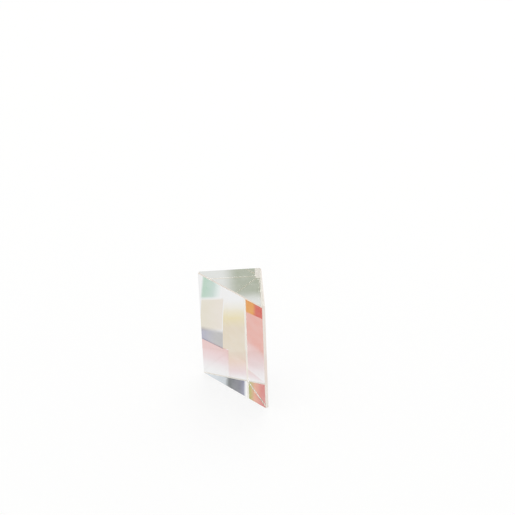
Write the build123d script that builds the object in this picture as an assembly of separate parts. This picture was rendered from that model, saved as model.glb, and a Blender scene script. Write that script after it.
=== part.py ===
"""Right angle prism: one solid piece of optical glass with a 45-90-45 degree section.

It stands on one of its triangular ends. The broad hypotenuse face looks along -Y, the right
angle edge runs up the back at +Y, and the two leg faces meet there. Every edge is eased by a
narrow flat bevel, as ground on real prisms, so that it doesn't chip. Lengths are in
millimetres, and the origin is at the middle of the part's bounding box, at its foot.
"""
import os
from math import radians, sin, sqrt

from build123d import *

# Driving dimensions
leg_width = 25.0  # sharp-cornered width of each of the two faces beside the right angle
prism_length = 50.0  # along the edges, end to end
acute_bevel_width = 1.2  # width of the flat ground on each 45 degree edge
right_bevel_width = 0.7  # width of the flat ground on the 90 degree edge
end_bevel_width = 0.5  # width of the flat round each triangular end

# Angles of the section
right_angle = 90.0
acute_angle = (180.0 - right_angle) / 2

# Sizes that follow
hypotenuse_width = leg_width * sqrt(2)
section_depth = leg_width / sqrt(2)  # from the hypotenuse to the sharp right angle
match_tolerance = 0.01  # for picking edges by where they lie


def setback(bevel_width, corner_angle):
    """How far a bevel of this width reaches along each of the two faces that meet at an angle."""
    return bevel_width / (2 * sin(radians(corner_angle) / 2))


def sharp_blank():
    """The prism before its edges are eased, with the hypotenuse on the XZ plane."""
    half_hypotenuse = hypotenuse_width / 2
    corners = [(-half_hypotenuse, 0), (half_hypotenuse, 0), (0, section_depth)]
    section = make_face(Polyline(*corners, close=True))
    return extrude(section, prism_length)


def ease_long_edges(blank):
    """Bevels the two acute edges and the right angle edge, each to its own width."""
    long_edges = blank.edges().filter_by(Axis.Z)
    right_edge = long_edges.sort_by(Axis.Y)[-1]
    acute_edges = [edge for edge in long_edges if edge.center().Y < match_tolerance]
    eased = chamfer(acute_edges, setback(acute_bevel_width, acute_angle))
    right_edge = eased.edges().filter_by(Axis.Z).sort_by(Axis.Y)[-1]
    return chamfer(right_edge, setback(right_bevel_width, right_angle))


def ease_ends(prism):
    """Bevels the whole outline of both ends, so that the flats mitre at the corners."""
    end_faces = prism.faces().filter_by(Axis.Z)
    outline = [edge for face in end_faces for edge in face.edges()]
    return chamfer(outline, setback(end_bevel_width, right_angle))


def centred(prism):
    """The prism with the middle of its bounding box over the origin and its foot at Z = 0."""
    box = prism.bounding_box()
    middle = box.center()
    return Pos(-middle.X, -middle.Y, -box.min.Z) * prism


def build_prism():
    prism = centred(ease_ends(ease_long_edges(sharp_blank())))
    prism.label = "prism"
    return prism


os.makedirs("parts", exist_ok=True)
export_step(build_prism(), "parts/prism.step")
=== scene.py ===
from math import cos, radians, sin, sqrt

import bmesh
import bpy
from mathutils import Matrix, Vector


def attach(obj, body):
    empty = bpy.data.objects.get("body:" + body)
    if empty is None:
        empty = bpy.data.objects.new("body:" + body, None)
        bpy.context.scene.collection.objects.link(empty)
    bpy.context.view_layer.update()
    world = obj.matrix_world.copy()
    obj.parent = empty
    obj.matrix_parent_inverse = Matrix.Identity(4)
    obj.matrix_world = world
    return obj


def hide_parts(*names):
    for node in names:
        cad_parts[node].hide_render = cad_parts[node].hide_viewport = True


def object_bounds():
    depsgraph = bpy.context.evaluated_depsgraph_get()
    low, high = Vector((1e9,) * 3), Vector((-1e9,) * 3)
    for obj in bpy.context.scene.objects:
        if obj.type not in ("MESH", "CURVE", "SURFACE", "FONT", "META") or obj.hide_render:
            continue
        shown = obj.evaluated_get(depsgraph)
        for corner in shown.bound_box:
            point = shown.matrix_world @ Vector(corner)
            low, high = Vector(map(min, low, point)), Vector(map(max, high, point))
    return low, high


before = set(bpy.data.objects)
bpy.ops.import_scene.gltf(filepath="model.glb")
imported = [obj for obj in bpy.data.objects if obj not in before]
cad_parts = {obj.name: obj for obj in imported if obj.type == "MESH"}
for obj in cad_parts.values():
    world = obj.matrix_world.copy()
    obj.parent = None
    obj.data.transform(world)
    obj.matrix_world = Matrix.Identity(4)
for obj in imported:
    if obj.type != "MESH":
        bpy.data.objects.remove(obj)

cad_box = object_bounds()
MM = 0.001
CLEAR = (1, 1, 1, 1)

# ---------------------------------------------------------------- camera
PICTURE_PX = 515
FOCAL_PX = 1900.0
SENSOR_MM = 36.0
CAMERA_AT = Vector((382.95, -404.55, 489.55)) * MM
LOOK_YAW, LOOK_PITCH, LOOK_ROLL = radians(132.924), radians(37.651), radians(-2.131)
NEAREST_SEEN_M, FARTHEST_SEEN_M = 0.01, 50


def stand_camera():
    """A camera that looks down on the hypotenuse face from the right."""
    level_look = Vector((cos(LOOK_YAW), sin(LOOK_YAW), 0.0))
    forward = cos(LOOK_PITCH) * level_look - sin(LOOK_PITCH) * Vector((0.0, 0.0, 1.0))
    right = Vector((sin(LOOK_YAW), -cos(LOOK_YAW), 0.0))
    up = right.cross(forward)
    tilted_right = cos(LOOK_ROLL) * right + sin(LOOK_ROLL) * up
    tilted_up = -sin(LOOK_ROLL) * right + cos(LOOK_ROLL) * up
    lens = bpy.data.cameras.new("studio_camera")
    lens.sensor_width = SENSOR_MM
    lens.lens = FOCAL_PX * SENSOR_MM / PICTURE_PX
    lens.clip_start = NEAREST_SEEN_M
    lens.clip_end = FARTHEST_SEEN_M
    camera = put_in_scene("studio_camera", lens)
    axes = Matrix((tilted_right, tilted_up, -forward)).transposed()
    camera.matrix_world = Matrix.Translation(CAMERA_AT) @ axes.to_4x4()
    bpy.context.scene.camera = camera


# ---------------------------------------------------------------- small helpers
def put_in_scene(name, data):
    """A new object in the scene, with this mesh, lamp or camera."""
    made = bpy.data.objects.new(name, data)
    bpy.context.scene.collection.objects.link(made)
    return made


def flat_sheet(name, corners, material):
    """A sheet with one face, its corners given in order."""
    mesh = bpy.data.meshes.new(name)
    mesh.from_pydata(corners, [], [range(len(corners))])
    mesh.materials.append(material)
    return put_in_scene(name, mesh)


def linear(sheet_hex):
    """sRGB hex such as F2F4F0 as linear red, green, blue and full alpha."""
    parts = [int(sheet_hex[i:i + 2], 16) / 255 for i in (0, 2, 4)]
    return tuple(c / 12.92 if c <= 0.04045 else ((c + 0.055) / 1.055) ** 2.4 for c in parts) + (1.0,)


def node(tree, kind, settings=None, inputs=None):
    """Adds a node. inputs gives a value, or another node's output, for each input by name or place."""
    made = tree.nodes.new(kind)
    for key, value in (settings or {}).items():
        setattr(made, key, value)
    for key, value in (inputs or {}).items():
        if isinstance(value, bpy.types.NodeSocket):
            tree.links.new(value, made.inputs[key])
        else:
            made.inputs[key].default_value = value
    return made


def new_material(name):
    """An empty material and its node tree."""
    material = bpy.data.materials.new(name)
    material.use_nodes = True
    material.node_tree.nodes.clear()
    return material, material.node_tree


def mixed(tree, share, first, second):
    """Two shaders mixed, all first at a share of 0 and all second at a share of 1."""
    return node(tree, "ShaderNodeMixShader", inputs={0: share, 1: first.outputs[0], 2: second.outputs[0]})


def cloudy(tree, size_mm, band, shares, detail, distortion=0.0):
    """A share in clouds of about size_mm. Noise from one end of band to the other gives those of shares."""
    place = node(tree, "ShaderNodeTexCoord")
    clouds = node(tree, "ShaderNodeTexNoise", inputs={
        "Vector": place.outputs["Object"], "Scale": 1 / (size_mm * MM), "Detail": detail,
        "Distortion": distortion})
    share = node(tree, "ShaderNodeMapRange", inputs={
        "Value": clouds.outputs[0], "From Min": band[0], "From Max": band[1],
        "To Min": shares[0], "To Max": shares[1]})
    return share.outputs[0]


# ---------------------------------------------------------------- glass
CROWN_INDEX = 1.517
# the arcs that a lens tissue leaves are about this far apart, and cover this share of the surface
WIPING_MM = 6.0
WIPING_SHARES = (0.004, 0.03)
# the grit of a fine ground bevel is 0.03 to 0.05 mm; it is drawn coarser, as finer grain is lost in a pixel
GRIT_MM = 0.2
GROUND_ROUGHNESS = 0.2
# how much of a ground bevel scatters light, seen from outside and from inside
OUTER_SCATTER = (0.74, 0.86)
INNER_SCATTER = (0.78, 0.9)
# the noise lies mostly between these two values
NOISE_BAND = (0.35, 0.65)
# wiping arcs only show where the noise is high
WIPING_BAND = (0.45, 0.7)
# the smallest polished face has 282 mm2 and the largest bevel 60 mm2
POLISHED_OVER_MM2 = 100.0
# corners this near are one corner, and triangles this flat are one face
SAME_POINT_MM = 0.001
FLAT_WITHIN = radians(0.5)


# Borosilicate crown glass, ground true and polished on all five faces. It gives the eye a water-clear
# block whose faces turn into full mirrors from inside, so that straight edges are seen two and three
# times, each face with a sheen that grows as it turns away, and a film of wiping haze so thin that only
# its slow change is noticed.
def polished_crown_glass():
    material, tree = new_material("polished_crown_glass")
    smooth = {"Color": CLEAR, "Roughness": 0.0}
    entering = node(tree, "ShaderNodeBsdfGlass", inputs={**smooth, "IOR": CROWN_INDEX})
    dust = node(tree, "ShaderNodeBsdfDiffuse", inputs={"Color": linear("F2F2F0")})
    wiping = cloudy(tree, WIPING_MM, WIPING_BAND, WIPING_SHARES, detail=5.0, distortion=0.6)
    outside = mixed(tree, wiping, entering, dust)
    leaving = node(tree, "ShaderNodeBsdfRefraction", inputs={**smooth, "IOR": CROWN_INDEX})
    mirror = node(tree, "ShaderNodeBsdfAnisotropic", inputs=smooth)
    fresnel = node(tree, "ShaderNodeFresnel", inputs={"IOR": CROWN_INDEX})
    inside = mixed(tree, fresnel.outputs[0], leaving, mirror)
    geometry = node(tree, "ShaderNodeNewGeometry")
    both = mixed(tree, geometry.outputs["Backfacing"], outside, inside)
    node(tree, "ShaderNodeOutputMaterial", inputs={"Surface": both.outputs[0]})
    return material


# The same crown glass where the edges were eased on a fine diamond lap and left unpolished. It gives the
# eye a narrow satin band, a pale warm white from outside and brighter from inside, where the light comes
# through it.
def ground_bevel_glass():
    material, tree = new_material("fine_ground_bevel_glass")
    glass = node(tree, "ShaderNodeBsdfGlass",
                 inputs={"Color": CLEAR, "Roughness": GROUND_ROUGHNESS, "IOR": CROWN_INDEX})
    satin = node(tree, "ShaderNodeBsdfDiffuse", inputs={"Color": linear("EEE4DA")})
    glow = node(tree, "ShaderNodeBsdfTranslucent", inputs={"Color": linear("FBF6EC")})
    outside = mixed(tree, cloudy(tree, GRIT_MM, NOISE_BAND, OUTER_SCATTER, detail=2.0), glass, satin)
    inside = mixed(tree, cloudy(tree, GRIT_MM, NOISE_BAND, INNER_SCATTER, detail=2.0), glass, glow)
    geometry = node(tree, "ShaderNodeNewGeometry")
    both = mixed(tree, geometry.outputs["Backfacing"], outside, inside)
    node(tree, "ShaderNodeOutputMaterial", inputs={"Surface": both.outputs[0]})
    return material


def dress_prism():
    """The CAD prism's own mesh with whole faces, polished or ground by their size."""
    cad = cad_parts["prism"]
    work = bmesh.new()
    work.from_mesh(cad.data)
    bmesh.ops.remove_doubles(work, verts=work.verts, dist=SAME_POINT_MM * MM)
    bmesh.ops.dissolve_limit(work, angle_limit=FLAT_WITHIN, verts=work.verts, edges=work.edges)
    for face in work.faces:
        face.material_index = 0 if face.calc_area() > POLISHED_OVER_MM2 * MM * MM else 1
    mesh = bpy.data.meshes.new("prism_glass")
    work.to_mesh(mesh)
    work.free()
    mesh.materials.append(polished_crown_glass())
    mesh.materials.append(ground_bevel_glass())
    piece = put_in_scene("prism_glass", mesh)
    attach(piece, "root")
    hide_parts("prism")
    return piece


# ---------------------------------------------------------------- floor
FLOOR_HALF_M = 3.0
FLOOR_Z = -0.1 * MM
# the camera sees this share of plain white in the floor, and the rest shows the prism's shadow
FLOOR_WHITE_SHARE = 0.8
# seen through glass, the white is this much darker
FLOOR_DIMMED_IN_GLASS = 0.15


def lay_floor():
    """A pale matt floor that turns white behind the prism and keeps its shadow."""
    material, tree = new_material("pale_floor")
    pale = node(tree, "ShaderNodeBsdfDiffuse", inputs={"Color": linear("F4F4F2")})
    path = node(tree, "ShaderNodeLightPath")
    straight = node(tree, "ShaderNodeMath", {"operation": "ADD"},
                    {0: path.outputs["Is Camera Ray"], 1: path.outputs["Is Glossy Ray"]})
    seen = node(tree, "ShaderNodeMath", {"operation": "ADD"},
                {0: straight.outputs[0], 1: path.outputs["Is Transmission Ray"]})
    share = node(tree, "ShaderNodeMath", {"operation": "MULTIPLY"},
                 {0: seen.outputs[0], 1: FLOOR_WHITE_SHARE})
    level = node(tree, "ShaderNodeMath", {"operation": "MULTIPLY_ADD"},
                 {0: path.outputs["Is Transmission Ray"], 1: -FLOOR_DIMMED_IN_GLASS, 2: 1.0})
    white = node(tree, "ShaderNodeEmission", inputs={"Color": CLEAR, "Strength": level.outputs[0]})
    both = mixed(tree, share.outputs[0], pale, white)
    node(tree, "ShaderNodeOutputMaterial", inputs={"Surface": both.outputs[0]})
    near, far = -FLOOR_HALF_M, FLOOR_HALF_M
    corners = [(near, near, FLOOR_Z), (far, near, FLOOR_Z), (far, far, FLOOR_Z), (near, far, FLOOR_Z)]
    floor = flat_sheet("floor", corners, material)


# ---------------------------------------------------------------- coloured gels of painted light
# the way out of each polished face
OUTWARD = {
    "hypotenuse": (0, -1, 0),
    "right_leg": (1, 1, 0),
    "left_leg": (-1, 1, 0),
    "top": (0, 0, 1),
    "foot": (0, 0, -1),
}
# a gel whose line of sight goes up stands as a card this far from the glass; the others lie on the floor
CARD_AWAY_MM = 60.0
LOWEST_GEL_MM = 0.1
GEL_STEP_MM = 0.03
# gels fade in soft clouds of about this size, and are this strong in them
HAZE_MM = 4.0
GEL_STRENGTHS = (0.92, 1.0)

# Coloured lighting gels lie on the floor round the prism and stand as cards behind it. They are painted
# light: only light that has come out of the glass sees them, so each one paints a patch that shows in
# the glass, in the colours that split light would give there, or as painted shade where the glass shows
# shadow. patch is the outline that shows on the hypotenuse face from the camera, in millimetres across
# from the left edge and up from the foot, and mirrors are the faces that the line of sight meets before
# it leaves by the left leg face. Where mirrors is None the gel lies under the foot, and patch is its
# outline on the floor. Gels that overlap have levels of their own, and those below -3 are lower than the
# foot. The colours change along way 0 (across) or way 1 (down), from the first corner to the next one or
# to the last one, or between the points in ways. soft is the share that fades at the start and end of way
# 0, then of way 1.
PAINTED_LIGHT_GELS = [
    dict(name="mint", mirrors=[], level=0, way=0, soft=(0.14, 0.15, 0, 0.16),
         patch=[(2.5, 49.5), (13.5, 55.5), (12, 43), (0.5, 37)],
         colours=[(0.2, "BADBC6"), (0.6, "CCE2D8"), (0.85, "F0F9F6")]),
    dict(name="straw_left", mirrors=[], level=0, way=0, soft=(0.03, 0.05, 0.1, 0.12),
         patch=[(1.5, 38.5), (13.5, 45), (11.5, 24.5), (-0.5, 20.5)],
         colours=[(0, "EFE8D4"), (1, "F6ECE0")]),
    dict(name="straw_middle", mirrors=[], level=2, way=1, soft=(0, 0.05, 0.3, 0),
         patch=[(13.5, 44.5), (25, 50.5), (24, 25), (11.5, 18.5)],
         colours=[(0.2, "FAF4E2"), (0.4, "F5E7B8"), (0.6, "EEDFC6"), (1, "F0E3CD")]),
    dict(name="smoke", mirrors=[], level=1, way=0, soft=(0.03, 0, 0.4, 0),
         patch=[(0, 24.5), (12, 28.5), (11.5, 18.5), (-0.5, 17.7)],
         colours=[(0.1, "B7B7CB"), (0.7, "C2C0C0")]),
    dict(name="smoke_edge", mirrors=[], level=2, way=0, soft=(0.02, 0, 0.3, 0),
         patch=[(-0.5, 18.4), (11.5, 19.2), (11.5, 18.5), (-0.5, 17.7)],
         colours=[(0, "D8D4DC"), (1, "D8D4DC")]),
    dict(name="rose", mirrors=[], level=1, way=1, soft=(0.4, 0.05, 0, 0.45),
         patch=[(-11, 19), (-1, 17.5), (14.5, 19.5), (14.5, 5.5), (-14, -2)],
         ways=[(-12, 14.5), (15.5, 22.5), (-14, -2)],
         colours=[(0.2, "F6CFCC"), (0.4, "F8D9DA"), (0.7, "F9EBED")]),
    dict(name="salmon", mirrors=[], level=2, way=1, soft=(0.13, 0.03, 0, 0.3),
         patch=[(13.5, 19.5), (24, 25), (24.5, 7), (13.5, 4)],
         colours=[(0, "F0E3CD"), (0.4, "F6DBCA"), (0.75, "F7E1E3")]),
    dict(name="amber_red", mirrors=["right_leg"], level=1, way=0, soft=(0, 0, 0, 0.03),
         patch=[(24.5, 49.5), (34, 50.5), (33.5, 44), (24, 43.5)],
         colours=[(0.38, "FBDF00"), (0.56, "E76030")]),
    dict(name="coral", mirrors=["right_leg"], level=0, way=1, soft=(0.03, 0.02, 0, 0.19),
         patch=[(25, 56.5), (34.5, 55), (33.5, 23), (22.5, 25.5)],
         colours=[(0.6, "F4B2A5"), (0.95, "F4AEA1")]),
    # its pale ends are painted split light, and its dark middle is painted shade seen through the foot
    dict(name="slate_card", mirrors=["foot"], level=0, way=0, soft=(0, 0.02, 0, 0),
         patch=[(0, 2.5), (23.5, 15.5), (22.5, -2), (-1, -15.5)],
         colours=[(0, "DFE7EE"), (0.52, "CAD1D6"), (0.6, "686E70"), (0.84, "696A77"), (0.945, "82849D"),
                  (0.975, "E8E9EF")]),
    dict(name="red_card", mirrors=["foot", "right_leg"], level=0, way=0, soft=(0.03, 0, 0, 0),
         patch=[(24, 10.5), (34.5, 16.5), (33.5, -1), (23, -7)],
         colours=[(0.06, "A8B052"), (0.14, "BFB25E"), (0.36, "E7A486"), (0.7, "DA756C"), (1, "D98F88")]),
    # painted shade: a grey sheet under the foot stands for the prism's shadow on the floor, seen in the
    # glass
    dict(name="grey_painted_shade_under_foot", mirrors=None, level=-4, way=0, soft=(0, 0, 0, 0),
         patch=[(-17, -8.5), (17, -8.5), (0.5, 8.5), (-0.5, 8.5)],
         colours=[(0, "EDEFEB"), (1, "EDEFEB")]),
    # painted shade: a darker sage patch under the foot stands for shade on the floor, seen through the top
    dict(name="sage_painted_shade_under_foot", mirrors=None, level=-5, way=0, soft=(0.1, 0, 0.45, 0.1),
         patch=[(-11, -16), (7.5, 2.5), (18.5, -8.5), (0, -27)],
         colours=[(0, "BFC5B2"), (1, "BFC5B2")]),
]


def polished_planes(mesh):
    """The way out and a point of each polished face, by the face's name."""
    planes = {}
    for face in mesh.polygons:
        if face.area > POLISHED_OVER_MM2 * MM * MM:
            name = max(OUTWARD, key=lambda name: face.normal.dot(Vector(OUTWARD[name]).normalized()))
            planes[name] = (face.normal.copy(), face.center.copy())
    return planes


def bend(way, out, ratio):
    """Snell's law at a face, with the index before it over the index after it."""
    facing = -out if way.dot(out) > 0 else out
    straight = -way.dot(facing)
    return ratio * way + (ratio * straight - sqrt(1 - ratio ** 2 * (1 - straight ** 2))) * facing


def meet(start, way, plane):
    """Where a line of sight meets a face's plane."""
    out, on_plane = plane
    return start + way * ((on_plane - start).dot(out) / way.dot(out))


def place_seen(spot_mm, mirrors, height, planes):
    """The place on the floor, or on a card, that shows at a spot of the hypotenuse face."""
    if mirrors is None:
        return Vector((spot_mm[0] * MM, spot_mm[1] * MM, height))
    out, on_plane = planes["hypotenuse"]
    spot = Vector((cad_box[0][0] + spot_mm[0] * MM, on_plane.y, spot_mm[1] * MM))
    way = bend((spot - CAMERA_AT).normalized(), out, 1 / CROWN_INDEX)
    for name in mirrors:
        spot = meet(spot, way, planes[name])
        way = way.reflect(planes[name][0])
    spot = meet(spot, way, planes["left_leg"])
    way = bend(way, planes["left_leg"][0], CROWN_INDEX)
    if way.z < 0:
        return spot + way * ((height - spot.z) / way.z)
    return spot + way * CARD_AWAY_MM * MM


def share_along(point, start, end_0, end_1):
    """How far a point lies along two ways that needn't be square, 0 at the start and 1 at a way's end."""
    way_0, way_1, reach = end_0 - start, end_1 - start, point - start
    cross = way_0.cross(way_1)
    along_0 = reach.cross(way_1).dot(cross)
    along_1 = way_0.cross(reach).dot(cross)
    return along_0 / cross.dot(cross), along_1 / cross.dot(cross)


def faded(tree, along, start, end, cover):
    """A cover that comes in softly from start to end along one way."""
    fade = node(tree, "ShaderNodeMapRange", {"interpolation_type": "SMOOTHSTEP"},
                {"Value": along, "From Min": start, "From Max": end})
    both = node(tree, "ShaderNodeMath", {"operation": "MULTIPLY"}, {0: fade.outputs[0], 1: cover})
    return both.outputs[0]


# a Mix node has sockets for each kind of value, and these are the places of those for colours
MIX_COLOUR_A, MIX_COLOUR_B, MIX_COLOUR_OUT = 6, 7, 2


# Lighting gel, cast as a clear film, tinted with painted split light or painted shade that shows only
# through the glass. It gives the eye a soft field of colour with hazy borders.
def gel_material(name, colours, way, soft):
    material, tree = new_material(name)
    layer = node(tree, "ShaderNodeUVMap")
    spot = node(tree, "ShaderNodeSeparateXYZ", inputs={0: layer.outputs[0]})
    ramp = node(tree, "ShaderNodeValToRGB", inputs={0: spot.outputs[way]})
    stops = ramp.color_ramp.elements
    while len(stops) < len(colours):
        stops.new(1.0)
    for stop, (place, sheet_hex) in zip(stops, colours):
        stop.position = place
        stop.color = linear(sheet_hex)
    cover = cloudy(tree, HAZE_MM, NOISE_BAND, GEL_STRENGTHS, detail=1.0)
    for along, at_start, at_end in ((spot.outputs[0], *soft[:2]), (spot.outputs[1], *soft[2:])):
        if at_start > 0:
            cover = faded(tree, along, 0.0, at_start, cover)
        if at_end > 0:
            cover = faded(tree, along, 1.0, 1.0 - at_end, cover)
    tint = node(tree, "ShaderNodeMix", {"data_type": "RGBA"},
                {0: cover, MIX_COLOUR_A: CLEAR, MIX_COLOUR_B: ramp.outputs[0]})
    clear = node(tree, "ShaderNodeBsdfTransparent", inputs={"Color": tint.outputs[MIX_COLOUR_OUT]})
    node(tree, "ShaderNodeOutputMaterial", inputs={"Surface": clear.outputs[0]})
    return material


def hang_painted_light_gel(planes, name, mirrors, level, patch, colours, way, soft, ways=None):
    """One painted-light gel where its patch shows, with the two ways across it kept as its UV layer."""
    height = (LOWEST_GEL_MM + GEL_STEP_MM * level) * MM
    points = [place_seen(spot, mirrors, height, planes) for spot in patch]
    ends = [place_seen(spot, mirrors, height, planes) for spot in ways or (patch[0], patch[1], patch[-1])]
    gel = flat_sheet(name + "_gel", points, gel_material(name + "_gel", colours, way, soft))
    layer = gel.data.uv_layers.new(name="ways_across")
    for loop, point in zip(layer.data, points):
        loop.uv = share_along(point, *ends)
    gel.visible_camera = False
    gel.visible_diffuse = False
    gel.visible_glossy = False
    gel.visible_shadow = False


# ---------------------------------------------------------------- lamps
SOFTBOX_M = 0.5
SOFTBOX_AT = Vector((-0.2, 0.37, 0.85))
SOFTBOX_AIM = Vector((0.0, 0.0, 0.02))
SOFTBOX_WATTS = 1.8
ROOM_LEVEL = 0.92


def light_studio():
    """A soft white room, pure white to the camera, and one softbox behind the prism."""
    world = bpy.data.worlds.new("soft_white_room")
    bpy.context.scene.world = world
    world.use_nodes = True
    tree = world.node_tree
    tree.nodes.clear()
    path = node(tree, "ShaderNodeLightPath")
    level = node(tree, "ShaderNodeMath", {"operation": "MULTIPLY_ADD"},
                 {0: path.outputs["Is Camera Ray"], 1: 1.0 - ROOM_LEVEL, 2: ROOM_LEVEL})
    sky = node(tree, "ShaderNodeBackground", inputs={"Color": CLEAR, "Strength": level.outputs[0]})
    node(tree, "ShaderNodeOutputWorld", inputs={"Surface": sky.outputs[0]})
    lamp = bpy.data.lights.new("softbox_behind", "AREA")
    lamp.shape = "RECTANGLE"
    lamp.size = SOFTBOX_M
    lamp.size_y = SOFTBOX_M
    lamp.energy = SOFTBOX_WATTS
    softbox = put_in_scene("softbox_behind", lamp)
    softbox.location = SOFTBOX_AT
    softbox.rotation_euler = (SOFTBOX_AIM - SOFTBOX_AT).to_track_quat("-Z", "Y").to_euler()


# light goes back and forth inside the prism, so it needs more bounces than most objects do
MOST_BOUNCES = 24
MOST_MIRRORINGS = 20
MOST_PASSES_THROUGH_GLASS = 20


def set_render():
    """Plain colours, and enough bounces for the glass."""
    scene = bpy.context.scene
    scene.view_settings.view_transform = "Standard"
    scene.cycles.max_bounces = MOST_BOUNCES
    scene.cycles.glossy_bounces = MOST_MIRRORINGS
    scene.cycles.transmission_bounces = MOST_PASSES_THROUGH_GLASS


stand_camera()
prism_glass = dress_prism()
lay_floor()
prism_planes = polished_planes(prism_glass.data)
for painted_light_facts in PAINTED_LIGHT_GELS:
    hang_painted_light_gel(prism_planes, **painted_light_facts)
light_studio()
set_render()
